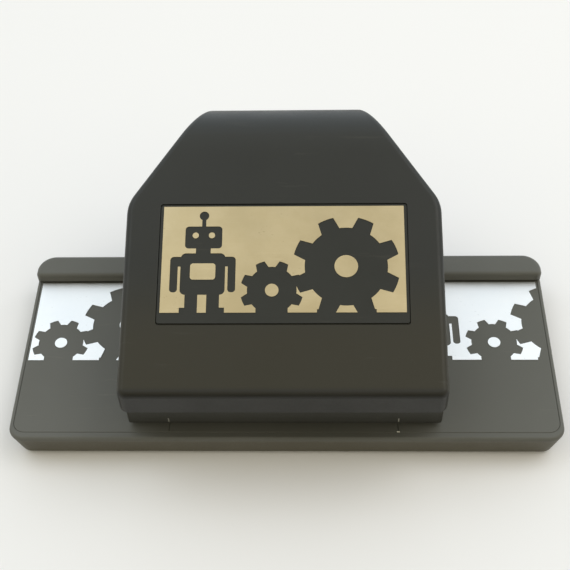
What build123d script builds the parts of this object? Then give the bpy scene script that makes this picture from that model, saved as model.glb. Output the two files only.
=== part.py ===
"""Border edger punch: a press-down craft punch that cuts one repeat of a border along a paper edge.

Frame: millimetres. Z = 0 is the plane of the rubber feet, X runs along the paper edge and +Y points
away from the user. The origin is under the middle of the whole punch's footprint. The paper goes in
from the front (-Y) and its edge stops against the fence at the back of the deck.
"""
import os
from math import cos, radians, sin

from build123d import *

os.makedirs("parts", exist_ok=True)

# ---------------------------------------------------------------- driving dimensions
REPEAT = 63.5  # length of one repeat of the border pattern
BASE_W, BASE_D = 154.0, 64.0
BASE_Y = -10.0  # middle of the base: the lever overhangs it at the back
FOOT_H = 1.0  # how far the rubber feet stand out
DECK_Z = 10.0  # top of the deck, where the paper lies
SLOT_H = 1.5  # height of the paper slot
RIM_SIDE, RIM_FRONT = 1.1, 2.15  # rim of the tray that shows around the deck
DECK_GAP = 0.07  # between the deck panel and the rim

GROUND_Y = BASE_Y - 5.5  # line on which the pattern stands
FENCE_Y = BASE_Y + 23.6  # front face of the paper fence
WINDOW_H = 28.8  # height of the silver windows on the deck
DIE_H = 29.9  # the die runs a little past the paper edge

LEVER_TILT = 19.41  # slope of the lever's top at rest, degrees
LEVER_HALF = 43.0
LEVER_FRONT, LEVER_REAR = -44.0, 44.0
LEVER_TOP_Y, LEVER_TOP_Z = BASE_Y - 14.54, 41.3  # a point on the lever's top plane
LEVER_WALL = 2.5
LEVER_SIDE_WALL = 2.2
LEVER_EDGE_R = 2.0
LEVER_FRONT_CORNER_R = 2.4
LEVER_LIP_Z = 26.7  # lower edge of the lever's front wall
ROLL_R = 13.25  # radius of the rolled far end

PIVOT_Y, PIVOT_Z = BASE_Y - 21.0, 23.0
HINGE_R = 2.0
DRIVE_Y, DRIVE_Z = BASE_Y + 9.0, 37.5  # drive pin at rest
DRIVE_R = 2.0

DIE_HALF = 40.0  # half length of the die plate along X
DIE_FRONT, DIE_REAR = BASE_Y - 8.5, BASE_Y + 29.3
DIE_T = 5.0
GUIDE_FRONT = BASE_Y - 13.0
GUIDE_T = 5.0
POST_X, POST_R = 35.5, 1.5
POST_YS = (BASE_Y - 2.0, BASE_Y + 14.0)
CUT_CLEARANCE = 0.08  # between the cutter and the die, each side
CUTTER_Z = 13.0  # cutting edge at rest
CUTTER_TOP = 25.2  # underside of the cutter's back plate
BACK_PLATE_T = 2.8
CARRIER_T = 5.5
PAD_TOP = DRIVE_Z - DRIVE_R - 0.05  # the drive pin presses here

HOUSING_HALF = 43.3
HOUSING_FRONT, HOUSING_REAR = BASE_Y - 27.8, BASE_Y + 31.5
HOUSING_CORNER_R = 1.0
HOUSING_TOP = 24.0
SHROUD_TOP = 33.0
HOUSING_WALL = 2.2

SLOT_TOP = DECK_Z + SLOT_H
GUIDE_TOP = SLOT_TOP + GUIDE_T
DIE_BOTTOM = DECK_Z - DIE_T
CARRIER_Z = CUTTER_TOP + BACK_PLATE_T
PUNCH_FRONT, PUNCH_REAR = BASE_Y - 6.6, BASE_Y + 25.4  # carrier and the cutter's back plate
CARRIER_SCREW_AT = [(side * 24, y) for side in (-1, 1) for y in (-8.0, 8.0)]
HOUSING_SCREW_AT = [(x, BASE_Y - 10.7) for x in (-30, 0, 30)]


def finish(piece, name):
    """Label a piece and write its STEP file."""
    piece.part.label = name
    export_step(piece.part, f"parts/{name}.step")


def lever_plane(height=0.0, up_slope=0.0):
    """The lever's sloping top plane: local Y runs up the slope, and height is along its normal."""
    tilt = radians(LEVER_TILT)
    normal, slope = Vector(0, -sin(tilt), cos(tilt)), Vector(0, cos(tilt), sin(tilt))
    origin = Vector(0, LEVER_TOP_Y, LEVER_TOP_Z) + normal * height + slope * up_slope
    return Plane(origin=origin, x_dir=(1, 0, 0), z_dir=normal)


def side_plane(x=0.0):
    """A plane across X whose local axes are the row's Y and Z."""
    return Plane(origin=(x, 0, 0), x_dir=(0, 1, 0), z_dir=(1, 0, 0))


# ---------------------------------------------------------------- the border pattern
# Pattern coordinates: x from the middle of the die, y up from the ground line.
TEETH = 8
SMALL_GEAR = dict(centre=(-2.96, 6.26), tip_r=8.4, root_r=6.6, tip_half=8.7, root_half=14.5, hole_r=1.8)
BIG_GEAR = dict(centre=(16.85, 12.99), tip_r=14.38, root_r=11.1, tip_half=8.9, root_half=13.5, hole_r=3.15)
ROBOT_X = -21.5


def polar(centre, radius, degrees):
    angle = radians(degrees)
    return (centre[0] + radius * cos(angle), centre[1] + radius * sin(angle))


def draw_gear(centre, tip_r, root_r, tip_half, root_half, hole_r):
    """A gear outline with trapezoidal teeth and a round hole, added to the open sketch."""
    step = 360 / TEETH
    with BuildLine() as outline:
        for tooth in range(TEETH):
            middle = step * (tooth + 0.5)
            rise = polar(centre, root_r, middle - root_half), polar(centre, tip_r, middle - tip_half)
            fall = polar(centre, tip_r, middle + tip_half), polar(centre, root_r, middle + root_half)
            next_rise = polar(centre, root_r, middle + step - root_half)
            Line(*rise)
            ThreePointArc(rise[1], polar(centre, tip_r, middle), fall[0])
            Line(*fall)
            ThreePointArc(fall[1], polar(centre, root_r, middle + step / 2), next_rise)
    make_face(outline.line)
    with Locations(centre):
        Circle(hole_r, mode=Mode.SUBTRACT)


def block(x_low, x_high, y_low, y_high, mode=Mode.ADD):
    """An upright rectangle given by its edges, in the open sketch."""
    with Locations(((x_low + x_high) / 2, (y_low + y_high) / 2)):
        Rectangle(x_high - x_low, y_high - y_low, mode=mode)


def draw_robot():
    """A plain toy robot built from bars and rounded blocks, standing on the ground line."""
    x = ROBOT_X
    with Locations((x, 27.7)):
        Circle(1.3)
    block(x - 0.55, x + 0.55, 24, 27)
    with Locations((x, 21.4)):
        RectangleRounded(10, 6.4, 1.0)
    block(x - 2.0, x + 2.0, 15.5, 18.6)
    with Locations((x, 10.9)):
        RectangleRounded(12.0, 11.8, 1.4)
    with Locations((x, 14.4)):
        RectangleRounded(17.6, 2.8, 1.0)
    for side in (-1, 1):
        with Locations((x + side * 7.75, 10.4)):
            RectangleRounded(2.1, 9.4, 0.9)
        with Locations((x + side * 2.9, 3.0)):
            Rectangle(3.4, 6.0)
        with Locations((x + side * 3.6, 0.7)):
            Rectangle(4.8, 1.4)
    for side in (-1, 1):
        with Locations((x + side * 2.2, 22.0)):
            Circle(0.85, mode=Mode.SUBTRACT)
    with Locations((x, 11.6)):
        RectangleRounded(6.8, 4.6, 0.8, mode=Mode.SUBTRACT)


with BuildSketch() as robot:
    draw_robot()

with BuildSketch() as gears:
    draw_gear(**SMALL_GEAR)
    with BuildSketch(mode=Mode.PRIVATE) as big_gear:
        draw_gear(**BIG_GEAR)
    add(big_gear.sketch)
    block(-7.2, 1.3, 0, 1.6)
    for foot_x in (9.0, 20.2):
        block(foot_x, foot_x + 4.5, 0, 0.9)

with BuildSketch() as figures:
    add(robot.sketch)
    add(gears.sketch)
    block(-REPEAT, REPEAT, -12, 0, mode=Mode.SUBTRACT)


def draw_window(x_low, x_high, height, repeats=(0,)):
    """The bright part of the border: a rectangle less the figures that stand in it."""
    block(x_low, x_high, 0, height)
    for repeat in repeats:
        with Locations((repeat * REPEAT, 0)):
            add(figures.sketch, mode=Mode.SUBTRACT)


def pattern_plane(z):
    return Plane.XY.offset(z).shift_origin((0, GROUND_Y, z))


with BuildSketch() as die_shape:
    draw_window(-REPEAT / 2, REPEAT / 2, DIE_H)

with BuildSketch() as cutter_shape:
    offset(die_shape.sketch, amount=-CUT_CLEARANCE, kind=Kind.INTERSECTION)

# ---------------------------------------------------------------- base
TRAY_FLOOR_T = 2.0
TRAY_SIDE_DRAFT, TRAY_FRONT_DRAFT = 2.0, 1.25  # how far the walls lean in towards the bottom
DECK_T = 2.0
TRAY_INNER_W, TRAY_INNER_D = BASE_W - 8.2, BASE_D - 5.0
TRAY_CORNER_R = 4.5
CHIP_HALF_W = 33.4
CHIP_FRONT, CHIP_REAR = BASE_Y - 6.5, BASE_Y + 24.7
FLOOR_TOP = FOOT_H + TRAY_FLOOR_T
MARK_XS = (-31.9, 31.25)  # alignment marks, one repeat apart
FOOT_AT = [(side * 64.5, BASE_Y + end * 22.0) for side in (-1, 1) for end in (-1, 1)]
TRAY_SCREW_AT = [(side * 52.0, BASE_Y + end * 20.0) for side in (-1, 1) for end in (-1, 1)]
FRAME_SCREW_Y = BASE_Y + 27.3
FRAME_SCREW_XS = (-36.4, -12.0, 12.0, 36.4)
RAIL_SCREW_AT = [(side * x, BASE_Y + 27.0) for side in (-1, 1) for x in (50.0, 68.0)]
SCREW_R, HEAD_R, HEAD_T = 1.25, 2.2, 1.6

with BuildPart() as base_tray:
    with BuildSketch(Plane.XY.offset(FOOT_H)):
        with Locations((0, BASE_Y)):
            RectangleRounded(BASE_W - 2 * TRAY_SIDE_DRAFT, BASE_D - 2 * TRAY_FRONT_DRAFT, 3.6)
    with BuildSketch(Plane.XY.offset(DECK_Z - 1.2)):
        with Locations((0, BASE_Y)):
            RectangleRounded(BASE_W, BASE_D, TRAY_CORNER_R)
    loft()
    fillet(base_tray.edges().group_by(Axis.Z)[0], 1.2)
    with BuildSketch(Plane.XY.offset(DECK_Z - 1.2)):
        with Locations((0, BASE_Y)):
            RectangleRounded(BASE_W, BASE_D, TRAY_CORNER_R)
    extrude(amount=1.2)
    fillet(base_tray.edges().group_by(Axis.Z)[-1], 1.0)
    # seat of the deck panel, then the hollow under it
    with BuildSketch(Plane.XY.offset(DECK_Z)):
        with Locations((0, BASE_Y)):
            RectangleRounded(BASE_W - 2 * RIM_SIDE, BASE_D - 2 * RIM_FRONT, TRAY_CORNER_R - RIM_SIDE)
    extrude(amount=-DECK_T, mode=Mode.SUBTRACT)
    with BuildSketch(Plane.XY.offset(DECK_Z)):
        with Locations((0, BASE_Y)):
            RectangleRounded(TRAY_INNER_W, TRAY_INNER_D, 3.0)
    extrude(amount=-(DECK_Z - FLOOR_TOP), mode=Mode.SUBTRACT)
    # collar around the chip outlet, which carries the die plate
    with BuildSketch(Plane.XY.offset(FLOOR_TOP)):
        block(-DIE_HALF + 0.4, DIE_HALF - 0.4, DIE_FRONT + 0.2, DIE_REAR - 0.2)
    extrude(amount=DIE_BOTTOM - FLOOR_TOP)
    with BuildSketch(Plane.XY.offset(FOOT_H)):
        block(-CHIP_HALF_W, CHIP_HALF_W, CHIP_FRONT, CHIP_REAR)
    extrude(amount=DIE_BOTTOM - FOOT_H, mode=Mode.SUBTRACT)
    # screw holes and pockets for the feet
    with Locations([(x, FRAME_SCREW_Y, FOOT_H) for x in FRAME_SCREW_XS]):
        Cylinder(HEAD_R, 2 * HEAD_T, mode=Mode.SUBTRACT)
        Cylinder(SCREW_R, 4 * DIE_T, mode=Mode.SUBTRACT)
    with Locations([(x, y, FOOT_H) for x, y in TRAY_SCREW_AT]):
        Cylinder(HEAD_R, HEAD_T, mode=Mode.SUBTRACT)
        Cylinder(SCREW_R, 4 * TRAY_FLOOR_T, mode=Mode.SUBTRACT)
    with Locations([(x, y, FOOT_H) for x, y in FOOT_AT]):
        Cylinder(4.5, 2.0, mode=Mode.SUBTRACT)
finish(base_tray, "base_tray")

with BuildPart() as deck_panel:
    with BuildSketch(Plane.XY.offset(DECK_Z - DECK_T)):
        with Locations((0, BASE_Y)):
            RectangleRounded(BASE_W - 2 * (RIM_SIDE + DECK_GAP), BASE_D - 2 * (RIM_FRONT + DECK_GAP),
                             TRAY_CORNER_R - RIM_SIDE - DECK_GAP)
    extrude(amount=DECK_T)
    fillet(deck_panel.edges().group_by(Axis.Z)[-1], 0.22)
    with BuildSketch(Plane.XY.offset(DECK_Z)):
        block(-DIE_HALF - 0.1, DIE_HALF + 0.1, DIE_FRONT - 0.1, BASE_Y + BASE_D)
    extrude(amount=-DECK_T, mode=Mode.SUBTRACT)
    # pillars that the tray's screws bite into, and stiffening ribs under the wings
    with Locations([(x, y, (FLOOR_TOP + DECK_Z - DECK_T) / 2) for x, y in TRAY_SCREW_AT]):
        Cylinder(3.2, DECK_Z - DECK_T - FLOOR_TOP)
    for side in (-1, 1):
        with Locations((side * 59.0, BASE_Y, DECK_Z - DECK_T - 1.5)):
            Box(1.6, 52.0, 3.0)
    with Locations([(x, y, FLOOR_TOP + 2.0) for x, y in TRAY_SCREW_AT]):
        Cylinder(SCREW_R, 4.0, mode=Mode.SUBTRACT)
    with Locations([(x, y, DECK_Z) for x, y in RAIL_SCREW_AT]):
        Cylinder(SCREW_R, 3 * DECK_T, mode=Mode.SUBTRACT)
    # alignment grooves in front of the housing, one repeat apart
    for mark_x in MARK_XS:
        with Locations((mark_x, BASE_Y - 27.9, DECK_Z)):
            Box(0.4, 3.0, 0.5, mode=Mode.SUBTRACT)
finish(deck_panel, "deck_panel")

with BuildPart() as rubber_feet:
    with Locations([(x, y, FOOT_H) for x, y in FOOT_AT]):
        Cylinder(4.5, 2.0)
    fillet(rubber_feet.edges().group_by(Axis.Z)[0], 0.5)
finish(rubber_feet, "rubber_feet")


def add_screws(places, head_z, tip_z, head_up=False):
    """Round-headed screws with a cross slot, from the underside of the head to the tip."""
    direction = 1 if head_up else -1
    for x, y in places:
        with Locations((x, y, (head_z + tip_z) / 2)):
            Cylinder(SCREW_R, abs(tip_z - head_z))
        with Locations((x, y, head_z + direction * (HEAD_T - 0.2) / 2)):
            Cylinder(HEAD_R - 0.1, HEAD_T - 0.2)
        with Locations((x, y, head_z + direction * (HEAD_T - 0.2))):
            Box(2.6, 0.6, 1.2, mode=Mode.SUBTRACT)
            Box(0.6, 2.6, 1.2, mode=Mode.SUBTRACT)


with BuildPart() as tray_screws:
    add_screws(TRAY_SCREW_AT, FOOT_H + HEAD_T / 2, FLOOR_TOP + 4.0)
finish(tray_screws, "tray_screws")

with BuildPart() as die_plate:
    with BuildSketch(Plane.XY.offset(DIE_BOTTOM)):
        block(-DIE_HALF, DIE_HALF, DIE_FRONT, DIE_REAR)
    extrude(amount=DIE_T)
    with BuildSketch(pattern_plane(DIE_BOTTOM)):
        add(die_shape.sketch)
    extrude(amount=DIE_T, mode=Mode.SUBTRACT)
    with Locations([(x, FRAME_SCREW_Y, DIE_BOTTOM) for x in FRAME_SCREW_XS]):
        Cylinder(SCREW_R, 4 * DIE_T, mode=Mode.SUBTRACT)
finish(die_plate, "die_plate")

with BuildPart() as throat_spacer:
    with BuildSketch(Plane.XY.offset(DECK_Z)):
        block(-DIE_HALF, DIE_HALF, BASE_Y + 24.8, DIE_REAR)
    extrude(amount=SLOT_H)
    with Locations([(x, FRAME_SCREW_Y, DECK_Z) for x in FRAME_SCREW_XS]):
        Cylinder(SCREW_R, 4 * SLOT_H, mode=Mode.SUBTRACT)
finish(throat_spacer, "throat_spacer")

for side, name in ((-1, "fence_rail_left"), (1, "fence_rail_right")):
    inner_x, outer_x = HOUSING_HALF + 0.3, BASE_W / 2
    rail_rear = BASE_Y + 31.7
    rail_top = DECK_Z + 3.6
    with BuildPart() as fence_rail:
        with BuildSketch(Plane.XY.offset(DECK_Z)):
            block(inner_x, outer_x, FENCE_Y, rail_rear)
        extrude(amount=rail_top - DECK_Z)
        outer_edges = fence_rail.edges().filter_by(Axis.Z).group_by(Axis.X)[-1].sort_by(Axis.Y)
        fillet(outer_edges[1], 5.5)
        outer_edges = fence_rail.edges().filter_by(Axis.Z).group_by(Axis.X)[-1]
        fillet(outer_edges, 1.6)
        fillet(fence_rail.faces().sort_by(Axis.Z)[-1].edges(), 1.4)
        # undercut along the foot of the fence, where the paper edge lies
        with Locations(((inner_x + outer_x) / 2, FENCE_Y, DECK_Z)):
            Box(BASE_W, 1.6, 1.4, mode=Mode.SUBTRACT)
        with Locations([(abs(x), y, DECK_Z) for x, y in RAIL_SCREW_AT if x > 0]):
            Cylinder(SCREW_R, 5.2, mode=Mode.SUBTRACT)
        if side < 0:
            mirror(about=Plane.YZ, mode=Mode.REPLACE)
    finish(fence_rail, name)

with BuildPart() as rail_screws:
    add_screws(RAIL_SCREW_AT, DECK_Z - DECK_T, DECK_Z + 2.6)
finish(rail_screws, "rail_screws")

FOIL_T = 0.15
FOIL_INNER, FOIL_OUTER = DIE_HALF + 0.5, BASE_W / 2 - 1.8
with BuildPart() as foil_left:
    with BuildSketch(pattern_plane(DECK_Z)):
        draw_window(-FOIL_OUTER, -FOIL_INNER, WINDOW_H, (-2, -1, 0))
    extrude(amount=FOIL_T)
finish(foil_left, "foil_left")

with BuildPart() as foil_right:
    with BuildSketch(pattern_plane(DECK_Z)):
        draw_window(FOIL_INNER, FOIL_OUTER, WINDOW_H, (0, 1))
    extrude(amount=FOIL_T)
finish(foil_right, "foil_right")

# ---------------------------------------------------------------- upper frame and housing
with BuildPart() as guide_plate:
    with BuildSketch(Plane.XY.offset(SLOT_TOP)):
        block(-DIE_HALF + 0.4, DIE_HALF - 0.4, GUIDE_FRONT, DIE_REAR)
    extrude(amount=GUIDE_T)
    with BuildSketch(pattern_plane(SLOT_TOP)):
        add(die_shape.sketch)
    extrude(amount=GUIDE_T, mode=Mode.SUBTRACT)
    with Locations([(x, FRAME_SCREW_Y, SLOT_TOP) for x in FRAME_SCREW_XS]):
        Cylinder(SCREW_R, 2 * GUIDE_T - 1.0, mode=Mode.SUBTRACT)
    with Locations([(side * POST_X, y, SLOT_TOP) for side in (-1, 1) for y in POST_YS]):
        Cylinder(POST_R, 4 * GUIDE_T, mode=Mode.SUBTRACT)
    with Locations([(side * POST_X, y, GUIDE_TOP) for side in (-1, 1) for y in POST_YS]):
        Cylinder(3.35, 3.0, mode=Mode.SUBTRACT)
    with Locations([(x, y, GUIDE_TOP) for x, y in HOUSING_SCREW_AT]):
        Cylinder(SCREW_R, 2 * GUIDE_T - 2.0, mode=Mode.SUBTRACT)
finish(guide_plate, "guide_plate")

with BuildPart() as frame_screws:
    add_screws([(x, FRAME_SCREW_Y) for x in FRAME_SCREW_XS], FOOT_H + HEAD_T, GUIDE_TOP - 0.6)
finish(frame_screws, "frame_screws")

with BuildPart() as guide_posts:
    with Locations([(side * POST_X, y, (SLOT_TOP + SHROUD_TOP) / 2) for side in (-1, 1) for y in POST_YS]):
        Cylinder(POST_R, SHROUD_TOP - SLOT_TOP)
    chamfer(guide_posts.edges().group_by(Axis.Z)[-1], 0.3)
finish(guide_posts, "guide_posts")

EAR_R = 3.6
HOUSING_EAR_X = (29.6, 33.6)
LEVER_EAR_X = (34.0, 38.0)


def ear_profile(foot_z, radius, foot_half):
    """A lug around the hinge pin that widens to its foot, drawn in a side plane."""
    with Locations((PIVOT_Y, PIVOT_Z)):
        Circle(radius)
    with BuildLine() as outline:
        Polyline((PIVOT_Y - foot_half, foot_z), (PIVOT_Y + foot_half, foot_z),
                 (PIVOT_Y + radius, PIVOT_Z), (PIVOT_Y - radius, PIVOT_Z), close=True)
    make_face(outline.line)


SHROUD_HALF, SHROUD_T = 40.2, 1.4
SHROUD_FRONT, SHROUD_REAR = BASE_Y - 14.0, HOUSING_REAR - 0.6
SHROUD_CORNER_Y = BASE_Y + 17.5  # the shroud's back corners are cut off to clear the lever's skirts
SHROUD_REAR_HALF = 31.0
BAY_FRONT, BAY_REAR = HOUSING_FRONT + HOUSING_WALL, DIE_REAR + 0.2


def tapered_block(half, front, rear, corner_y, rear_half):
    """A plan outline whose two back corners are cut off at a slant."""
    with BuildLine() as outline:
        Polyline((-half, front), (half, front), (half, corner_y), (rear_half, rear),
                 (-rear_half, rear), (-half, corner_y), close=True)
    make_face(outline.line)


with BuildPart() as upper_housing:
    floor_z = SLOT_TOP + 0.3
    with BuildSketch(Plane.XY.offset(floor_z)):
        block(-HOUSING_HALF, HOUSING_HALF, HOUSING_FRONT, HOUSING_REAR)
    extrude(amount=HOUSING_TOP - floor_z)
    fillet(upper_housing.edges().filter_by(Axis.Z), HOUSING_CORNER_R)
    # shroud that stays inside the lever's skirts
    with BuildSketch(Plane.XY.offset(HOUSING_TOP)):
        tapered_block(SHROUD_HALF, SHROUD_FRONT, SHROUD_REAR, SHROUD_CORNER_Y, SHROUD_REAR_HALF)
    extrude(amount=SHROUD_TOP - HOUSING_TOP)
    # rear closure down to the deck, behind and beside the throat
    with BuildSketch(Plane.XY.offset(DECK_Z)) as closure:
        block(-HOUSING_HALF, HOUSING_HALF, BASE_Y + 24.0, HOUSING_REAR)
        fillet(closure.vertices().group_by(Axis.Y)[-1], HOUSING_CORNER_R)
    extrude(amount=floor_z - DECK_Z)
    # front bay for the hinge
    with BuildSketch(Plane.XY.offset(floor_z + 2.0)):
        block(-SHROUD_HALF, SHROUD_HALF, BAY_FRONT, GUIDE_FRONT - HOUSING_WALL)
    extrude(amount=HOUSING_TOP - floor_z, mode=Mode.SUBTRACT)
    # space over the flange that the housing screws hold down
    with BuildSketch(Plane.XY.offset(GUIDE_TOP + 2.0)):
        block(-SHROUD_HALF + SHROUD_T, SHROUD_HALF - SHROUD_T, BAY_FRONT, DIE_FRONT)
    extrude(amount=SHROUD_TOP - GUIDE_TOP, mode=Mode.SUBTRACT)
    # bay in which the punch travels
    with BuildSketch(Plane.XY.offset(DECK_Z)):
        tapered_block(SHROUD_HALF - SHROUD_T, DIE_FRONT - 0.1, BAY_REAR, SHROUD_CORNER_Y - 0.4,
                      SHROUD_REAR_HALF - 1.1)
    extrude(amount=SHROUD_TOP - DECK_Z, mode=Mode.SUBTRACT)
    # seat of the guide plate
    with BuildSketch(Plane.XY.offset(DECK_Z)):
        block(-DIE_HALF + 0.2, DIE_HALF - 0.2, GUIDE_FRONT - 0.1, BAY_REAR)
    extrude(amount=GUIDE_TOP - DECK_Z, mode=Mode.SUBTRACT)
    # the die plate's spacer passes under the back of the housing
    with BuildSketch(Plane.XY.offset(DECK_Z)):
        block(-DIE_HALF - 0.1, DIE_HALF + 0.1, BASE_Y + 23.9, BAY_REAR)
    extrude(amount=SLOT_H, mode=Mode.SUBTRACT)
    # hinge lugs
    for side in (-1, 1):
        low, high = HOUSING_EAR_X
        with BuildSketch(side_plane(side * low)):
            ear_profile(floor_z + 1.0, EAR_R - 0.2, 4.4)
        extrude(amount=side * (high - low))
    with Locations((0, PIVOT_Y, PIVOT_Z)):
        Cylinder(HINGE_R, 2 * HOUSING_HALF + 2, rotation=(0, 90, 0), mode=Mode.SUBTRACT)
    with Locations([(x, y, GUIDE_TOP) for x, y in HOUSING_SCREW_AT]):
        Cylinder(SCREW_R, 8.0, mode=Mode.SUBTRACT)
finish(upper_housing, "upper_housing")

with BuildPart() as housing_screws:
    add_screws(HOUSING_SCREW_AT, GUIDE_TOP + 2.0, GUIDE_TOP - 4.0, head_up=True)
finish(housing_screws, "housing_screws")

with BuildPart() as alignment_marks:
    with Locations([(mark_x, HOUSING_FRONT - 0.05, 13.3) for mark_x in MARK_XS]):
        Box(0.34, 0.1, 1.6)
    with Locations((MARK_XS[1], BASE_Y - 29.6, DECK_Z + 0.05)):
        Box(0.75, 0.35, 0.1)
finish(alignment_marks, "alignment_marks")

with BuildPart() as hinge_pin:
    with Locations((0, PIVOT_Y, PIVOT_Z)):
        Cylinder(HINGE_R, 2 * HOUSING_HALF - 0.4, rotation=(0, 90, 0))
    chamfer(hinge_pin.edges().filter_by(GeomType.CIRCLE), 0.3)
finish(hinge_pin, "hinge_pin")

with BuildPart() as hinge_clips:
    for side in (-1, 1):
        with BuildSketch(side_plane(side * (HOUSING_EAR_X[0] - 0.9))):
            with Locations((PIVOT_Y, PIVOT_Z)):
                Circle(3.3)
                Circle(HINGE_R, mode=Mode.SUBTRACT)
                Rectangle(1.2, 8.0, align=(Align.CENTER, Align.MIN), mode=Mode.SUBTRACT)
        extrude(amount=side * 0.8)
finish(hinge_clips, "hinge_clips")

# ---------------------------------------------------------------- return springs
SPRING_R, SPRING_WIRE_R, SPRING_TURNS = 2.75, 0.35, 5
SPRING_SEAT = GUIDE_TOP - 1.5

with BuildPart() as return_springs:
    spring_height = CARRIER_Z - SPRING_SEAT - 2 * SPRING_WIRE_R
    for side in (-1, 1):
        for post_y in POST_YS:
            start = Vector(side * POST_X, post_y, SPRING_SEAT + SPRING_WIRE_R)
            with BuildLine() as coil:
                Helix(spring_height / SPRING_TURNS, spring_height, SPRING_R, center=start)
            with BuildSketch(Plane(origin=coil.line @ 0, z_dir=coil.line % 0)):
                Circle(SPRING_WIRE_R)
            sweep(path=coil.line, is_frenet=True)
finish(return_springs, "return_springs")

# ---------------------------------------------------------------- punch
BACK_PLATE_HALF = 32.0
CARRIER_HALF, CARRIER_REAR_HALF, CARRIER_CORNER_Y = 38.3, 32.6, BASE_Y + 16.8
CARRIER_TOP = CARRIER_Z + CARRIER_T
BUSH_R = 2.35

with BuildPart() as punch_cutter:
    with BuildSketch(pattern_plane(CUTTER_Z)):
        add(cutter_shape.sketch)
    extrude(amount=CUTTER_TOP - CUTTER_Z)
    with BuildSketch(Plane.XY.offset(CUTTER_TOP)):
        block(-BACK_PLATE_HALF, BACK_PLATE_HALF, PUNCH_FRONT, PUNCH_REAR)
    extrude(amount=BACK_PLATE_T)
    with Locations([(x, y, CARRIER_Z) for x, y in CARRIER_SCREW_AT]):
        Cylinder(SCREW_R, 4.4, mode=Mode.SUBTRACT)
finish(punch_cutter, "punch_cutter")

with BuildPart() as punch_carrier:
    with BuildSketch(Plane.XY.offset(CARRIER_Z)):
        tapered_block(CARRIER_HALF, PUNCH_FRONT, PUNCH_REAR, CARRIER_CORNER_Y, CARRIER_REAR_HALF)
    extrude(amount=CARRIER_T)
    fillet(punch_carrier.edges().filter_by(Axis.Z), 1.5)
    with BuildSketch(Plane.XY.offset(CARRIER_TOP)):
        block(-12, 12, BASE_Y + 4.0, BASE_Y + 17.0)
    extrude(amount=PAD_TOP - CARRIER_TOP)
    with Locations([(side * POST_X, y, CARRIER_Z) for side in (-1, 1) for y in POST_YS]):
        Cylinder(BUSH_R, 4 * CARRIER_T, mode=Mode.SUBTRACT)
    with Locations([(x, y, CARRIER_TOP) for x, y in CARRIER_SCREW_AT]):
        Cylinder(HEAD_R, 2 * HEAD_T, mode=Mode.SUBTRACT)
        Cylinder(SCREW_R, 4 * CARRIER_T, mode=Mode.SUBTRACT)
finish(punch_carrier, "punch_carrier")

with BuildPart() as guide_bushes:
    with Locations([(side * POST_X, y, CARRIER_Z + CARRIER_T / 2) for side in (-1, 1) for y in POST_YS]):
        Cylinder(BUSH_R, CARRIER_T)
        Cylinder(POST_R + 0.06, CARRIER_T, mode=Mode.SUBTRACT)
finish(guide_bushes, "guide_bushes")

with BuildPart() as carrier_screws:
    add_screws(CARRIER_SCREW_AT, CARRIER_TOP - HEAD_T, CUTTER_TOP + 0.6, head_up=True)
finish(carrier_screws, "carrier_screws")

# ---------------------------------------------------------------- lever
TILT = radians(LEVER_TILT)
CORNER_V, DIAGONAL_SLOPE = 34.0, 0.66  # where the sides turn in, and how fast, going up the slope
LEVER_END_V = 68.6
LEVER_SKIRT_REAR_Z = 44.2


def top_z(y, drop=0.0):
    """Height of the lever's top plane, or of a plane that lies drop below it, at y."""
    return LEVER_TOP_Z + (y - LEVER_TOP_Y) * sin(TILT) / cos(TILT) - drop / cos(TILT)


def lever_side_profile(inset, extra):
    """Outline of the lever seen from the side, moved in by inset and carried down by extra."""
    front, rear, roll = LEVER_FRONT + inset, LEVER_REAR - inset, ROLL_R - inset
    roll_y, roll_z = LEVER_REAR - ROLL_R, top_z(LEVER_REAR - ROLL_R, ROLL_R)
    start = (roll_y - roll * sin(TILT), roll_z + roll * cos(TILT))
    crest = (roll_y + roll * cos(radians(35)), roll_z + roll * sin(radians(35)))
    end = (rear, roll_z)
    low_front, low_rear = LEVER_LIP_Z - extra, LEVER_SKIRT_REAR_Z - extra
    with BuildLine() as outline:
        Line((front, low_front), (front, top_z(front, inset)))
        Line((front, top_z(front, inset)), start)
        ThreePointArc(start, crest, end)
        Line(end, (rear, low_rear))
        Line((rear, low_rear), (front, low_front))
    make_face(outline.line)


def lever_plan(inset):
    """Outline of the lever seen square to its top plane, moved in by inset."""
    half = LEVER_HALF - inset
    lean = inset * 0.54  # keeps the diagonal wall as thick as the others
    end_v = LEVER_END_V
    end_half = half - (end_v - CORNER_V + lean) * DIAGONAL_SLOPE
    with BuildLine() as outline:
        Polyline((-half, -45), (half, -45), (half, CORNER_V - lean), (end_half, end_v),
                 (-end_half, end_v), (-half, CORNER_V - lean), close=True)
    make_face(outline.line)


# Bracket, boss and pin places on the lever, up the slope and below the top plane.
BRACKET_V = (11.5, 30.5)
BRACKET_SCREW_AT = [(side * 8.0, v) for side in (-1, 1) for v in (14.5, 27.4)]
BOSS_DEPTH, BRACKET_T = 6.5, 1.5
LABEL_V = (-1.5, 33.15)
FILM_V = (-0.95, 33.05)  # the film stops short of the recess's lower edge
LABEL_HALF, LABEL_DEPTH = 33.55, 0.85
LABEL_GROUND_V = 2.0
LABEL_WINDOW_HALF, LABEL_WINDOW_H = 32.6, 30.45
LABEL_T = 0.5

with BuildPart() as lever_hollow:
    with BuildSketch(side_plane(-LEVER_HALF)):
        lever_side_profile(LEVER_WALL, 12.0)
    extrude(amount=2 * LEVER_HALF)
    with BuildSketch(lever_plane(30)) as inner_plan:
        lever_plan(LEVER_SIDE_WALL)
        fillet(inner_plan.vertices().group_by(Axis.Y)[-1], 7.0)
        fillet(inner_plan.vertices().group_by(Axis.Y)[1], 8.0)
    extrude(amount=-110, mode=Mode.INTERSECT)

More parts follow.
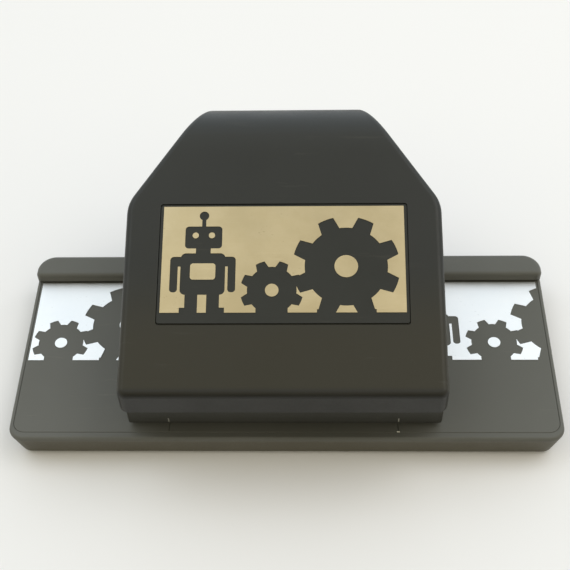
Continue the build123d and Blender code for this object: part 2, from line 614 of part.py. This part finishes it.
with BuildPart() as lever_shell:
    with BuildSketch(side_plane(-LEVER_HALF)):
        lever_side_profile(0, 0)
    extrude(amount=2 * LEVER_HALF)
    with BuildSketch(lever_plane(30)) as plan:
        lever_plan(0)
        fillet(plan.vertices().group_by(Axis.Y)[-1], 9.0)
        fillet(plan.vertices().group_by(Axis.Y)[1], 10.0)
    extrude(amount=-90, mode=Mode.INTERSECT)
    # round the front corners, the edges along the top and the rolled end, and the front crease
    fillet(lever_shell.edges().filter_by(Axis.Z).group_by(Axis.Y)[0], LEVER_FRONT_CORNER_R)
    top_face = lever_shell.faces().filter_by(lever_plane())[0]
    roll_face = lever_shell.faces().filter_by(GeomType.CYLINDER).sort_by(SortBy.AREA)[-1]
    side_edges = (top_face.edges() + roll_face.edges()).filter_by(Axis.X, reverse=True)
    crease = top_face.edges().filter_by(Axis.X).sort_by(Axis.Y)[0]
    fillet([*side_edges, crease], LEVER_EDGE_R)
    add(lever_hollow.part, mode=Mode.SUBTRACT)
    # lugs around the hinge pin
    for side in (-1, 1):
        low, high = LEVER_EAR_X
        with BuildSketch(side_plane(side * low)):
            ear_profile(top_z(PIVOT_Y, LEVER_WALL) + 0.6, EAR_R, 4.6)
        extrude(amount=side * (high - low))
    # stops that come down on the housing's front wall
    for side in (-1, 1):
        with BuildSketch(side_plane(side * 20.0 - 0.8)):
            stop_rear = HOUSING_FRONT + HOUSING_WALL
            with BuildLine() as outline:
                Polyline((LEVER_FRONT + 1.0, 27.0), (HOUSING_FRONT - 0.4, HOUSING_TOP + 0.1),
                         (stop_rear, HOUSING_TOP + 0.1), (stop_rear, top_z(stop_rear, 1.5)),
                         (LEVER_FRONT + 1.0, top_z(LEVER_FRONT + 1.0, 1.5)), close=True)
            make_face(outline.line)
        extrude(amount=1.6)
    # stiffening ribs under the top
    for x in (-25.0, 25.0):
        with BuildSketch(lever_plane(-LEVER_WALL + 0.5)):
            block(x - 0.8, x + 0.8, -14.0, 50.0)
        extrude(amount=-4.0)
    # bosses for the bracket
    with BuildSketch(lever_plane(-LEVER_WALL + 0.5)):
        with Locations(BRACKET_SCREW_AT):
            Circle(2.9)
    extrude(amount=-(BOSS_DEPTH - LEVER_WALL + 0.5))
    with BuildSketch(lever_plane(-BOSS_DEPTH)):
        with Locations(BRACKET_SCREW_AT):
            Circle(SCREW_R)
    extrude(amount=4.4, mode=Mode.SUBTRACT)
    with Locations((0, PIVOT_Y, PIVOT_Z)):
        Cylinder(HINGE_R + 0.06, 2 * LEVER_HALF + 2, rotation=(0, 90, 0), mode=Mode.SUBTRACT)
    # recess for the label
    with BuildSketch(lever_plane(0)):
        with Locations((0, sum(LABEL_V) / 2)):
            RectangleRounded(2 * LABEL_HALF, LABEL_V[1] - LABEL_V[0], 0.8)
    extrude(amount=-LABEL_DEPTH, mode=Mode.SUBTRACT)
finish(lever_shell, "lever_shell")

with BuildPart() as lever_label:
    with BuildSketch(lever_plane(-LABEL_DEPTH)):
        with Locations((0, sum(FILM_V) / 2)):
            RectangleRounded(2 * LABEL_HALF - 0.2, FILM_V[1] - FILM_V[0], 0.7)
    extrude(amount=LABEL_T)
finish(lever_label, "lever_label")

with BuildPart() as lever_foil:
    with BuildSketch(lever_plane(LABEL_T - LABEL_DEPTH, LABEL_GROUND_V)):
        draw_window(-LABEL_WINDOW_HALF, LABEL_WINDOW_HALF, LABEL_WINDOW_H)
    extrude(amount=FOIL_T)
finish(lever_foil, "lever_foil")

CHEEK_X = (13.2, 14.8)
with BuildPart() as press_bracket:
    with BuildSketch(lever_plane(-BOSS_DEPTH)):
        with Locations((0, sum(BRACKET_V) / 2)):
            RectangleRounded(34, BRACKET_V[1] - BRACKET_V[0], 2)
    extrude(amount=-BRACKET_T)
    for side in (-1, 1):
        low, high = CHEEK_X
        with BuildSketch(side_plane(side * low)):
            with Locations((DRIVE_Y, DRIVE_Z)):
                Circle(DRIVE_R + 1.2)
            with BuildLine() as outline:
                Polyline((DRIVE_Y - 3.2, DRIVE_Z), (DRIVE_Y + 3.2, DRIVE_Z),
                         (DRIVE_Y + 5.5, top_z(DRIVE_Y + 5.5, BOSS_DEPTH + 0.5)),
                         (DRIVE_Y - 5.5, top_z(DRIVE_Y - 5.5, BOSS_DEPTH + 0.5)), close=True)
            make_face(outline.line)
        extrude(amount=side * (high - low))
    with Locations((0, DRIVE_Y, DRIVE_Z)):
        Cylinder(DRIVE_R, 60, rotation=(0, 90, 0), mode=Mode.SUBTRACT)
    with BuildSketch(lever_plane(-BOSS_DEPTH)):
        with Locations(BRACKET_SCREW_AT):
            Circle(SCREW_R)
    extrude(amount=-2 * BRACKET_T, mode=Mode.SUBTRACT)
finish(press_bracket, "press_bracket")

with BuildPart() as bracket_screws:
    with BuildSketch(lever_plane(-BOSS_DEPTH + 4.0)):
        with Locations(BRACKET_SCREW_AT):
            Circle(SCREW_R)
    extrude(amount=-(4.0 + BRACKET_T))
    with BuildSketch(lever_plane(-BOSS_DEPTH - BRACKET_T)):
        with Locations(BRACKET_SCREW_AT):
            Circle(HEAD_R - 0.1)
    extrude(amount=-1.4)
    with BuildSketch(lever_plane(-BOSS_DEPTH - BRACKET_T - 1.4)):
        with Locations(BRACKET_SCREW_AT):
            Rectangle(2.6, 0.6)
            Rectangle(0.6, 2.6)
    extrude(amount=0.6, mode=Mode.SUBTRACT)
finish(bracket_screws, "bracket_screws")

with BuildPart() as drive_pin:
    with Locations((0, DRIVE_Y, DRIVE_Z)):
        Cylinder(DRIVE_R, 33.6, rotation=(0, 90, 0))
    chamfer(drive_pin.edges().filter_by(GeomType.CIRCLE), 0.3)
finish(drive_pin, "drive_pin")

with BuildPart() as drive_clips:
    for side in (-1, 1):
        with BuildSketch(side_plane(side * (CHEEK_X[1] + 0.05))):
            with Locations((DRIVE_Y, DRIVE_Z)):
                Circle(3.1)
                Circle(DRIVE_R, mode=Mode.SUBTRACT)
                Rectangle(1.2, 8.0, align=(Align.CENTER, Align.MIN), mode=Mode.SUBTRACT)
        extrude(amount=side * 0.8)
finish(drive_clips, "drive_clips")
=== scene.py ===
"""Looks of the border edger punch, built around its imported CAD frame.

Everything is in metres in the row frame: Z = 0 under the feet, X along the paper edge, +Y away from
the user.
"""

from math import cos, pi, radians, sin

import bmesh
import bpy
from mathutils import Matrix, Vector


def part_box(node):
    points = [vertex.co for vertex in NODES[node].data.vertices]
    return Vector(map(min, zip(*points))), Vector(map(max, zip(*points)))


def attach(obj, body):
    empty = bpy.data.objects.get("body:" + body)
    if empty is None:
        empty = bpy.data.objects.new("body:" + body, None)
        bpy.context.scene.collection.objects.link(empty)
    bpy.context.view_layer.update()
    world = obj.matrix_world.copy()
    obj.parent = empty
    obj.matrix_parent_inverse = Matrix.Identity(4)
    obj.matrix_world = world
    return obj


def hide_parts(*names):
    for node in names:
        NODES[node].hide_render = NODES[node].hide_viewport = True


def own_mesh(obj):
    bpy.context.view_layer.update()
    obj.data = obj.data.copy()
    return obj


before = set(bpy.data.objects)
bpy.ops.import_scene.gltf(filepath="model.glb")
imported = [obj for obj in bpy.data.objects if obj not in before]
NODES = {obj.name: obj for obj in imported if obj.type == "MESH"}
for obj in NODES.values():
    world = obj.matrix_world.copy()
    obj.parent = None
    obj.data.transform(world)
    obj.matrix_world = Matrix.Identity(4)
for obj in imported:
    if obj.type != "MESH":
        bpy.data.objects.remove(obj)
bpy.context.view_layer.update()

MM = 0.001
NODE_SLOT = {name: node.data.materials[0].name for name, node in NODES.items()}


def srgb(red, green, blue):
    """Linear colour of an 8-bit display colour."""
    channels = []
    for value in (red, green, blue):
        value /= 255
        channels.append(value / 12.92 if value <= 0.04045 else ((value + 0.055) / 1.055) ** 2.4)
    return (*channels, 1.0)


# ---------------------------------------------------------------- materials
class Surface:
    """A Principled material whose colour, roughness and bump come from noise in object space."""

    def __init__(self, name, **constants):
        self.material = bpy.data.materials.new(name + "_look")
        self.material.use_nodes = True
        self.tree = self.material.node_tree
        self.tree.nodes.clear()
        output = self.node("ShaderNodeOutputMaterial")
        self.shader = self.node("ShaderNodeBsdfPrincipled")
        self.wire(self.shader.outputs["BSDF"], output.inputs["Surface"])
        self.place = self.node("ShaderNodeTexCoord").outputs["Object"]
        for socket, value in constants.items():
            self.shader.inputs[socket.replace("_", " ")].default_value = value

    def node(self, kind, **settings):
        made = self.tree.nodes.new(kind)
        for key, value in settings.items():
            setattr(made, key, value)
        return made

    def wire(self, source, target):
        self.tree.links.new(source, target)

    def stretched(self, scale, turn=(0, 0, 0)):
        """Object coordinates, turned and then scaled by axis."""
        mapping = self.node("ShaderNodeMapping", vector_type="POINT")
        self.wire(self.place, mapping.inputs["Vector"])
        mapping.inputs["Rotation"].default_value = [radians(angle) for angle in turn]
        mapping.inputs["Scale"].default_value = scale
        return mapping.outputs["Vector"]

    def along(self, axis):
        """The place along one axis of the row's frame."""
        split = self.node("ShaderNodeSeparateXYZ")
        self.wire(self.place, split.inputs["Vector"])
        return split.outputs[axis]

    def noise(self, scale, detail=2.0, roughness=0.5, vector=None):
        made = self.node("ShaderNodeTexNoise")
        self.wire(vector or self.place, made.inputs["Vector"])
        for socket, value in (("Scale", scale), ("Detail", detail), ("Roughness", roughness)):
            made.inputs[socket].default_value = value
        return made.outputs["Fac"]

    def cells(self, scale, vector=None):
        """Distance from the nearest of a field of scattered points."""
        made = self.node("ShaderNodeTexVoronoi", feature="F1")
        self.wire(vector or self.place, made.inputs["Vector"])
        made.inputs["Scale"].default_value = scale
        return made.outputs["Distance"]

    def remap(self, value, low, high, to_low=0.0, to_high=1.0, smooth=False):
        made = self.node("ShaderNodeMapRange",
                         interpolation_type="SMOOTHSTEP" if smooth else "LINEAR")
        self.wire(value, made.inputs["Value"])
        for socket, number in (("From Min", low), ("From Max", high), ("To Min", to_low),
                               ("To Max", to_high)):
            made.inputs[socket].default_value = number
        return made.outputs["Result"]

    def math(self, operation, first, second):
        made = self.node("ShaderNodeMath", operation=operation)
        for socket, value in zip(made.inputs, (first, second)):
            if isinstance(value, (int, float)):
                socket.default_value = value
            else:
                self.wire(value, socket)
        return made.outputs["Value"]

    def mix(self, factor, first, second):
        """Blend of two colours, each a colour or a socket."""
        made = self.node("ShaderNodeMix", data_type="RGBA")
        self.wire(factor, made.inputs["Factor"])
        for socket, value in zip([s for s in made.inputs if s.type == "RGBA"], (first, second)):
            if isinstance(value, tuple):
                socket.default_value = value
            else:
                self.wire(value, socket)
        return [s for s in made.outputs if s.type == "RGBA"][0]

    def bump(self, height, distance, strength=1.0, under=None):
        made = self.node("ShaderNodeBump")
        self.wire(height, made.inputs["Height"])
        made.inputs["Distance"].default_value = distance
        made.inputs["Strength"].default_value = strength
        if under:
            self.wire(under, made.inputs["Normal"])
        return made.outputs["Normal"]

    def set(self, **sources):
        for socket, source in sources.items():
            self.wire(source, self.shader.inputs[socket.replace("_", " ")])
        return self.material


def moulded_plastic(name, colour, tint, wear_and_shade_tone, roughness, grain=6e-6, painted_light_zones=()):
    """Satin moulded plastic: fine spark-eroded grain, slow unevenness, rub marks and a little dust.

    Zones are painted light and shade, such as a darker front face or a brighter rear roll: each is a
    colour, the axis along which it sets in, and where it starts and is full.
    """
    s = Surface(name, IOR=1.41)
    broad = s.noise(22, 3, 0.55)
    colour_out = s.mix(s.remap(broad, 0.35, 0.65), colour, tint)
    # painted light and shade: each zone blends its colour in along one axis
    for painted_tone, axis, start, full in painted_light_zones:
        colour_out = s.mix(s.remap(s.along(axis), start, full, smooth=True), colour_out, painted_tone)
    dust = s.remap(s.cells(650), 0.10, 0.03)
    rare = s.remap(s.noise(300, 1), 0.66, 0.74)
    dust = s.math("MULTIPLY", dust, rare)
    rubs = s.remap(s.noise(1, 4, 0.7, s.stretched((40, 420, 90), (0, 0, 24))), 0.63, 0.80)
    marks = s.math("MAXIMUM", s.math("MULTIPLY", dust, 0.7), s.math("MULTIPLY", rubs, 0.35))
    colour_out = s.mix(marks, colour_out, wear_and_shade_tone)
    rough = s.remap(s.noise(60, 3, 0.6), 0.3, 0.7, roughness - 0.05, roughness + 0.06)
    rough = s.math("ADD", rough, s.remap(s.noise(1400, 1), 0.3, 0.7, -0.03, 0.03))
    ripple = s.bump(s.noise(45, 2), 1.2e-4, 0.30)
    normal = s.bump(s.noise(2600, 2, 0.6), grain, 1.0, ripple)
    return s.set(Base_Color=colour_out, Roughness=rough, Normal=normal)


def metal_foil(name, colour, pale, stain, roughness):
    """Thin metallised film: hairline scratches, rubbed patches, short nicks and worn specks."""
    s = Surface(name, Metallic=1.0)
    cloud = s.remap(s.noise(75, 5, 0.7), 0.40, 0.75, 0, 0.55)
    colour_out = s.mix(cloud, colour, pale)
    lines = None
    for stretch, turn, low, high in (((45, 2300, 60), 7, 0.66, 0.72), ((70, 3000, 90), -38, 0.67, 0.73),
                                     ((60, 2600, 80), 64, 0.68, 0.74), ((30, 1500, 50), 21, 0.70, 0.74)):
        layer = s.remap(s.noise(1, 2, 0.6, s.stretched(stretch, (0, 0, turn))), low, high)
        lines = layer if lines is None else s.math("MAXIMUM", lines, layer)
    lines = s.math("MULTIPLY", lines, s.remap(s.noise(80, 3, 0.6), 0.44, 0.58))
    nicks = s.remap(s.cells(520, s.stretched((1, 2.6, 1), (0, 0, 31))), 0.20, 0.08)
    nicks = s.math("MULTIPLY", nicks, s.remap(s.noise(150, 2, 0.6), 0.57, 0.64))
    specks = s.remap(s.cells(900), 0.16, 0.08)
    specks = s.math("MULTIPLY", specks, s.remap(s.noise(95, 2, 0.6), 0.55, 0.63))
    colour_out = s.mix(s.math("MULTIPLY", lines, 0.55), colour_out, pale)
    colour_out = s.mix(s.math("MULTIPLY", nicks, 0.60), colour_out, stain)
    colour_out = s.mix(s.math("MULTIPLY", specks, 0.55), colour_out, stain)
    rough = s.remap(s.noise(70, 4, 0.65), 0.3, 0.7, roughness - 0.05, roughness + 0.07)
    rough = s.math("ADD", rough, s.math("MULTIPLY", lines, 0.18))
    height = s.math("SUBTRACT", s.noise(700, 2), s.math("MULTIPLY", lines, 0.8))
    return s.set(Base_Color=colour_out, Roughness=rough, Normal=s.bump(height, 5e-6, 0.8))


def metal(name, colour, tint, roughness, stretch=(300, 2400, 300), stain=None):
    """Bare or plated metal with the marks of grinding or drawing along one direction."""
    s = Surface(name, Metallic=1.0)
    streaks = s.noise(1, 3, 0.65, s.stretched(stretch))
    colour_out = s.mix(s.remap(s.noise(160, 4, 0.6), 0.35, 0.68), colour, tint)
    colour_out = s.mix(s.remap(streaks, 0.55, 0.80, 0, 0.35), colour_out, tint)
    if stain:
        spots = s.remap(s.noise(75, 5, 0.7), 0.58, 0.74, 0, 0.55)
        colour_out = s.mix(spots, colour_out, stain)
    rough = s.remap(streaks, 0.25, 0.75, roughness - 0.08, roughness + 0.10)
    rough = s.math("ADD", rough, s.remap(s.noise(120, 3), 0.3, 0.7, -0.04, 0.05))
    return s.set(Base_Color=colour_out, Roughness=rough, Normal=s.bump(streaks, 4e-6, 0.8))


def printed_ink(name, colour, tint, wear_and_shade_tone):
    """A pad-printed mark: thin matt ink with pinholes, painted grey with shade on the housing above the
    deck.
    """
    s = Surface(name, IOR=1.5)
    colour_out = s.mix(s.remap(s.noise(1800, 3, 0.6), 0.4, 0.7), colour, tint)
    # painted shade: the ink turns grey above Z 11.0 to 11.5 mm, on the housing face shaded by the lever's
    # lip
    colour_out = s.mix(s.remap(s.along("Z"), 0.0110, 0.0115), colour_out, wear_and_shade_tone)
    rough = s.remap(s.noise(900, 2), 0.3, 0.7, 0.5, 0.65)
    return s.set(Base_Color=colour_out, Roughness=rough, Normal=s.bump(s.noise(2500, 2), 5e-6))


def acetal(name):
    """Off-white machined acetal: waxy, faintly yellowed, with fine feed marks."""
    s = Surface(name, IOR=1.48, Subsurface_Weight=0.12, Subsurface_Scale=0.002)
    colour_out = s.mix(s.remap(s.noise(40, 3), 0.35, 0.65), srgb(222, 217, 203), srgb(208, 202, 184))
    feed = s.noise(1, 2, 0.5, s.stretched((250, 3000, 250)))
    rough = s.remap(feed, 0.3, 0.7, 0.34, 0.48)
    return s.set(Base_Color=colour_out, Roughness=rough, Normal=s.bump(feed, 5e-6, 0.7))


def rubber(name):
    """Dark grey moulded rubber with a matt skin and trodden-in dust."""
    s = Surface(name, IOR=1.52)
    dusty = s.remap(s.noise(420, 4, 0.65), 0.48, 0.72)
    colour_out = s.mix(dusty, srgb(34, 34, 34), srgb(62, 60, 56))
    rough = s.remap(s.noise(600, 3), 0.3, 0.7, 0.74, 0.92)
    return s.set(Base_Color=colour_out, Roughness=rough, Normal=s.bump(s.noise(1500, 3), 2e-5, 0.8))


MATERIALS = {
    # base_plastic: its zone is painted shade, a darker, warmer colour on the front face and rim below the
    # deck
    "base_plastic": moulded_plastic("base_plastic", srgb(93, 94, 90), srgb(88, 89, 84), srgb(122, 121, 112),
                                    0.50, painted_light_zones=((srgb(77, 74, 61), "Z", 0.0098, 0.0080),)),
    # housing_plastic is a lit copy of the lever's dark plastic: its lighter colour is painted light against
    # the shade under the lever's lip
    "housing_plastic": moulded_plastic("housing_plastic", srgb(50, 50, 44), srgb(46, 46, 40),
                                       srgb(80, 78, 68), 0.52),
    # lever_plastic: its zone colours are painted light: a warm painted reflection on the front of the top,
    # painted shade on the front wall and a cool painted highlight on the rear roll
    "lever_plastic": moulded_plastic("lever_plastic", srgb(34, 36, 33), srgb(30, 32, 29), srgb(72, 72, 66),
                                     0.44, grain=4e-6, painted_light_zones=((srgb(41, 39, 27), "Y", -0.008, -0.032),
                                                             (srgb(26, 26, 21), "Y", -0.0415, -0.0430),
                                                             (srgb(47, 50, 50), "Y", 0.020, 0.034))),
    "label_black": moulded_plastic("label_black", srgb(36, 38, 34), srgb(32, 34, 30), srgb(78, 76, 66), 0.36,
                                   grain=2e-6),
    "champagne_foil": metal_foil("champagne_foil", (0.52, 0.435, 0.265, 1), (0.60, 0.515, 0.34, 1),
                                 (0.34, 0.27, 0.15, 1), 0.32),
    "silver_foil": metal_foil("silver_foil", (0.86, 0.885, 0.90, 1), (0.92, 0.93, 0.93, 1),
                              (0.55, 0.55, 0.55, 1), 0.42),
    # white_ink's third colour is painted shade, the grey of the ink on the shaded housing face
    "white_ink": printed_ink("white_ink", srgb(232, 231, 222), srgb(205, 203, 192), srgb(128, 127, 118)),
    "tool_steel": metal("tool_steel", (0.50, 0.50, 0.49, 1), (0.60, 0.60, 0.59, 1), 0.30,
                        stain=(0.30, 0.26, 0.21, 1)),
    "zinc_steel": metal("zinc_steel", (0.58, 0.60, 0.62, 1), (0.70, 0.71, 0.72, 1), 0.36,
                        stretch=(900, 900, 900)),
    "carrier_acetal": acetal("carrier_acetal"),
    "bronze": metal("bronze", (0.62, 0.40, 0.20, 1), (0.72, 0.50, 0.28, 1), 0.40, stretch=(1500, 1500, 1500),
                    stain=(0.25, 0.15, 0.07, 1)),
    "spring_steel": metal("spring_steel", (0.44, 0.44, 0.45, 1), (0.58, 0.58, 0.58, 1), 0.27,
                          stretch=(1800, 1800, 500)),
    "ground_steel": metal("ground_steel", (0.62, 0.62, 0.62, 1), (0.74, 0.74, 0.74, 1), 0.20,
                          stretch=(3000, 500, 500)),
    "feet_rubber": rubber("feet_rubber"),
}


# ---------------------------------------------------------------- pieces
def link(mesh, name, slot):
    piece = bpy.data.objects.new(name, mesh)
    bpy.context.scene.collection.objects.link(piece)
    mesh.materials.clear()
    mesh.materials.append(MATERIALS[slot])
    return piece


def bake_modifiers(piece):
    """Replace the piece's mesh by what its modifiers make of it."""
    bpy.context.view_layer.update()
    evaluated = piece.evaluated_get(bpy.context.evaluated_depsgraph_get())
    made = bpy.data.meshes.new_from_object(evaluated)
    piece.modifiers.clear()
    piece.data = made


SHARP = radians(31)  # an edge turning by more than this is a real edge of the piece
FLAT = radians(0.35)  # facets closer than this lie in one face
WELD = 2e-7  # vertices closer than this are one


def eased(node, body, name, width, segments=2):
    """A piece that stands for a CAD node, with every sharp edge of it rounded by a fine bevel."""
    slot = NODE_SLOT[node]
    mesh = NODES[node].data.copy()
    for attribute in [a for a in mesh.attributes if a.name == "custom_normal"]:
        mesh.attributes.remove(attribute)
    form = bmesh.new()
    form.from_mesh(mesh)
    bmesh.ops.remove_doubles(form, verts=form.verts, dist=WELD)
    bmesh.ops.dissolve_limit(form, angle_limit=FLAT, verts=form.verts, edges=form.edges)
    for edge in form.edges:
        edge.smooth = len(edge.link_faces) == 2 and edge.calc_face_angle(0) < SHARP
    for face in form.faces:
        face.smooth = True
    form.to_mesh(mesh)
    form.free()
    piece = link(mesh, name, slot)
    bevel = piece.modifiers.new("ease", "BEVEL")
    bevel.width = width
    bevel.segments = segments
    bevel.limit_method = "ANGLE"
    bevel.angle_limit = SHARP
    bevel.use_clamp_overlap = True
    bevel.harden_normals = False
    weight = piece.modifiers.new("shade", "WEIGHTED_NORMAL")
    weight.keep_sharp = True
    weight.weight = 80
    bake_modifiers(piece)
    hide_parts(node)
    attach(piece, body)
    return piece


EASED = (
    ("lever_shell", "lever", "lever_cover", 0.22 * MM, 3),
    ("lever_label", "lever", "lever_film", 0.05 * MM, 1),
    ("press_bracket", "lever", "press_yoke", 0.12 * MM, 2),
    ("upper_housing", "base", "housing", 0.25 * MM, 2),
    ("base_tray", "base", "tray", 0.18 * MM, 2),
    ("deck_panel", "base", "deck", 0.08 * MM, 2),
    ("fence_rail_left", "base", "fence_left", 0.15 * MM, 2),
    ("fence_rail_right", "base", "fence_right", 0.15 * MM, 2),
    ("die_plate", "base", "die", 0.06 * MM, 1),
    ("guide_plate", "base", "guide", 0.12 * MM, 1),
    ("punch_cutter", "punch", "cutter", 0.04 * MM, 1),
    ("punch_carrier", "punch", "carrier", 0.25 * MM, 2),
)
for eased_node, eased_body, eased_name, eased_width, eased_segments in EASED:
    eased(eased_node, eased_body, eased_name, eased_width, eased_segments)


SPRING_SEAT, SPRING_LENGTH, PUNCH_TRAVEL = 15.0 * MM, 13.0 * MM, 8.4 * MM
SPRING_TURNS = 6


def coil_springs(node, name):
    """The return springs as smooth wound wire, whose end turns lie closer than the middle ones."""
    low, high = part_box(node)
    wire_r, coil_r = 0.35 * MM, 2.75 * MM
    around, sides = 40, 12
    seat, top = SPRING_SEAT + wire_r, SPRING_SEAT + SPRING_LENGTH - wire_r
    steps = SPRING_TURNS * around
    vertices, faces = [], []
    for side_x in (low.x + coil_r + wire_r, high.x - coil_r - wire_r):
        for post_y in (low.y + coil_r + wire_r, high.y - coil_r - wire_r):
            first = len(vertices)
            for step in range(steps + 1):
                share = step / steps
                # the end turns close up, so the middle ones carry the pitch
                ease = share * share * (3 - 2 * share)
                rise = seat + (top - seat) * (0.35 * share + 0.65 * ease)
                angle = 2 * pi * SPRING_TURNS * share
                outward = Vector((cos(angle), sin(angle), 0))
                centre = Vector((side_x, post_y, rise)) + outward * coil_r
                for side in range(sides):
                    turn = 2 * pi * side / sides
                    offset = outward * cos(turn) + Vector((0, 0, sin(turn)))
                    vertices.append(centre + offset * wire_r)
            for step in range(steps):
                for side in range(sides):
                    a = first + step * sides + side
                    b = first + step * sides + (side + 1) % sides
                    faces.append((a, b, b + sides, a + sides))
            faces.append([first + side for side in range(sides)][::-1])
            faces.append([first + steps * sides + side for side in range(sides)])
    mesh = bpy.data.meshes.new(name)
    mesh.from_pydata(vertices, [], faces)
    for polygon in mesh.polygons:
        polygon.use_smooth = len(polygon.vertices) == 4
    mesh.update()
    piece = link(mesh, name, NODE_SLOT[node])
    form = bmesh.new()
    form.from_mesh(mesh)
    bmesh.ops.recalc_face_normals(form, faces=form.faces)
    form.to_mesh(mesh)
    form.free()
    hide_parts(node)
    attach(piece, "base")
    return piece


springs = coil_springs("return_springs", "springs")
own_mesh(springs)

# the CAD nodes that keep their own shape
for node_name, cad_object in NODES.items():
    if not cad_object.hide_render:
        cad_object.data.materials.clear()
        cad_object.data.materials.append(MATERIALS[NODE_SLOT[node_name]])

# ---------------------------------------------------------------- stage
FLOOR_HALF = 3.0
floor_mesh = bpy.data.meshes.new("floor")
floor_mesh.from_pydata([(-FLOOR_HALF, -FLOOR_HALF, 0), (FLOOR_HALF, -FLOOR_HALF, 0),
                        (FLOOR_HALF, FLOOR_HALF, 0), (-FLOOR_HALF, FLOOR_HALF, 0)], [], [(0, 1, 2, 3)])
floor = bpy.data.objects.new("floor", floor_mesh)
bpy.context.scene.collection.objects.link(floor)
paper = Surface("floor_paper", IOR=1.3)
paper.set(Base_Color=paper.mix(paper.noise(6, 2), (0.85, 0.86, 0.89, 1), (0.82, 0.83, 0.86, 1)),
          Roughness=paper.remap(paper.noise(40, 2), 0, 1, 0.85, 0.95))
floor_mesh.materials.append(paper.material)

# Soft light all round: each row is the Y part of a direction and the light from there.
SKY = (
    (-1.00, (0.16, 0.14, 0.11)),
    (-0.86, (0.34, 0.30, 0.22)),
    (-0.60, (0.90, 0.82, 0.62)),
    (-0.30, (0.95, 0.88, 0.70)),
    (-0.07, (0.83, 0.79, 0.66)),
    (0.10, (0.72, 0.73, 0.72)),
    (0.63, (0.80, 0.86, 0.90)),
    (0.85, (1.06, 1.13, 1.18)),
    (1.00, (1.12, 1.20, 1.28)),
)
SKY_STRENGTH = 1.3
world = bpy.data.worlds.new("studio")
bpy.context.scene.world = world
world.use_nodes = True
sky_tree = world.node_tree
sky_tree.nodes.clear()
direction = sky_tree.nodes.new("ShaderNodeTexCoord")
parts = sky_tree.nodes.new("ShaderNodeSeparateXYZ")
sky_tree.links.new(direction.outputs["Generated"], parts.inputs["Vector"])
along_y = sky_tree.nodes.new("ShaderNodeMapRange")
sky_tree.links.new(parts.outputs["Y"], along_y.inputs["Value"])
along_y.inputs["From Min"].default_value = -1
ramp = sky_tree.nodes.new("ShaderNodeValToRGB")
sky_tree.links.new(along_y.outputs["Result"], ramp.inputs["Fac"])
ramp.color_ramp.interpolation = "EASE"
while len(ramp.color_ramp.elements) < len(SKY):
    ramp.color_ramp.elements.new(0.5)
for element, (height, colour) in zip(ramp.color_ramp.elements, SKY):
    element.position = (height + 1) / 2
    element.color = (*(part / SKY_STRENGTH for part in colour), 1)
background = sky_tree.nodes.new("ShaderNodeBackground")
sky_tree.links.new(ramp.outputs["Color"], background.inputs["Color"])
background.inputs["Strength"].default_value = SKY_STRENGTH
sky_out = sky_tree.nodes.new("ShaderNodeOutputWorld")
sky_tree.links.new(background.outputs["Background"], sky_out.inputs["Surface"])

# two soft boxes above and a little behind light the deck and give the moulded edges their highlight
LIT_POINT = Vector((0, 0, 0.02))
SOFT_BOXES = (("soft_box_left", (-0.46, 0.16, 0.78), 1.4, (0.92, 0.98, 1.0)),
              ("soft_box_right", (0.50, 0.12, 0.74), 2.1, (1.0, 0.98, 0.94)))
for box_name, box_place, box_energy, box_colour in SOFT_BOXES:
    soft_box = bpy.data.lights.new(box_name, "AREA")
    soft_box.shape = "SQUARE"
    soft_box.size = 0.6
    soft_box.energy = box_energy
    soft_box.color = box_colour
    soft_box_object = bpy.data.objects.new(box_name, soft_box)
    bpy.context.scene.collection.objects.link(soft_box_object)
    soft_box_object.location = box_place
    aim = LIT_POINT - soft_box_object.location
    soft_box_object.rotation_euler = aim.to_track_quat("-Z", "Y").to_euler()

# ---------------------------------------------------------------- camera, at the photograph's angle
CAMERA_PLACE = (0.00933, -0.19955, 0.27132)
PITCH, YAW, ROLL = radians(50.907), radians(-2.729), radians(-2.288)
camera_data = bpy.data.cameras.new("camera")
camera_data.lens, camera_data.sensor_width = 69.6, 36.0
camera_data.clip_start = 0.01
camera = bpy.data.objects.new("camera", camera_data)
bpy.context.scene.collection.objects.link(camera)
forward = Vector((sin(YAW) * cos(PITCH), cos(YAW) * cos(PITCH), -sin(PITCH)))
right = Vector((cos(YAW), -sin(YAW), 0))
up = right.cross(forward)
image_right = right * cos(ROLL) + up * sin(ROLL)
image_up = up * cos(ROLL) - right * sin(ROLL)
camera_turn = Matrix((image_right, image_up, -forward)).transposed()
camera.matrix_world = Matrix.Translation(CAMERA_PLACE) @ camera_turn.to_4x4()
bpy.context.scene.camera = camera
bpy.context.scene.view_settings.view_transform = "Standard"
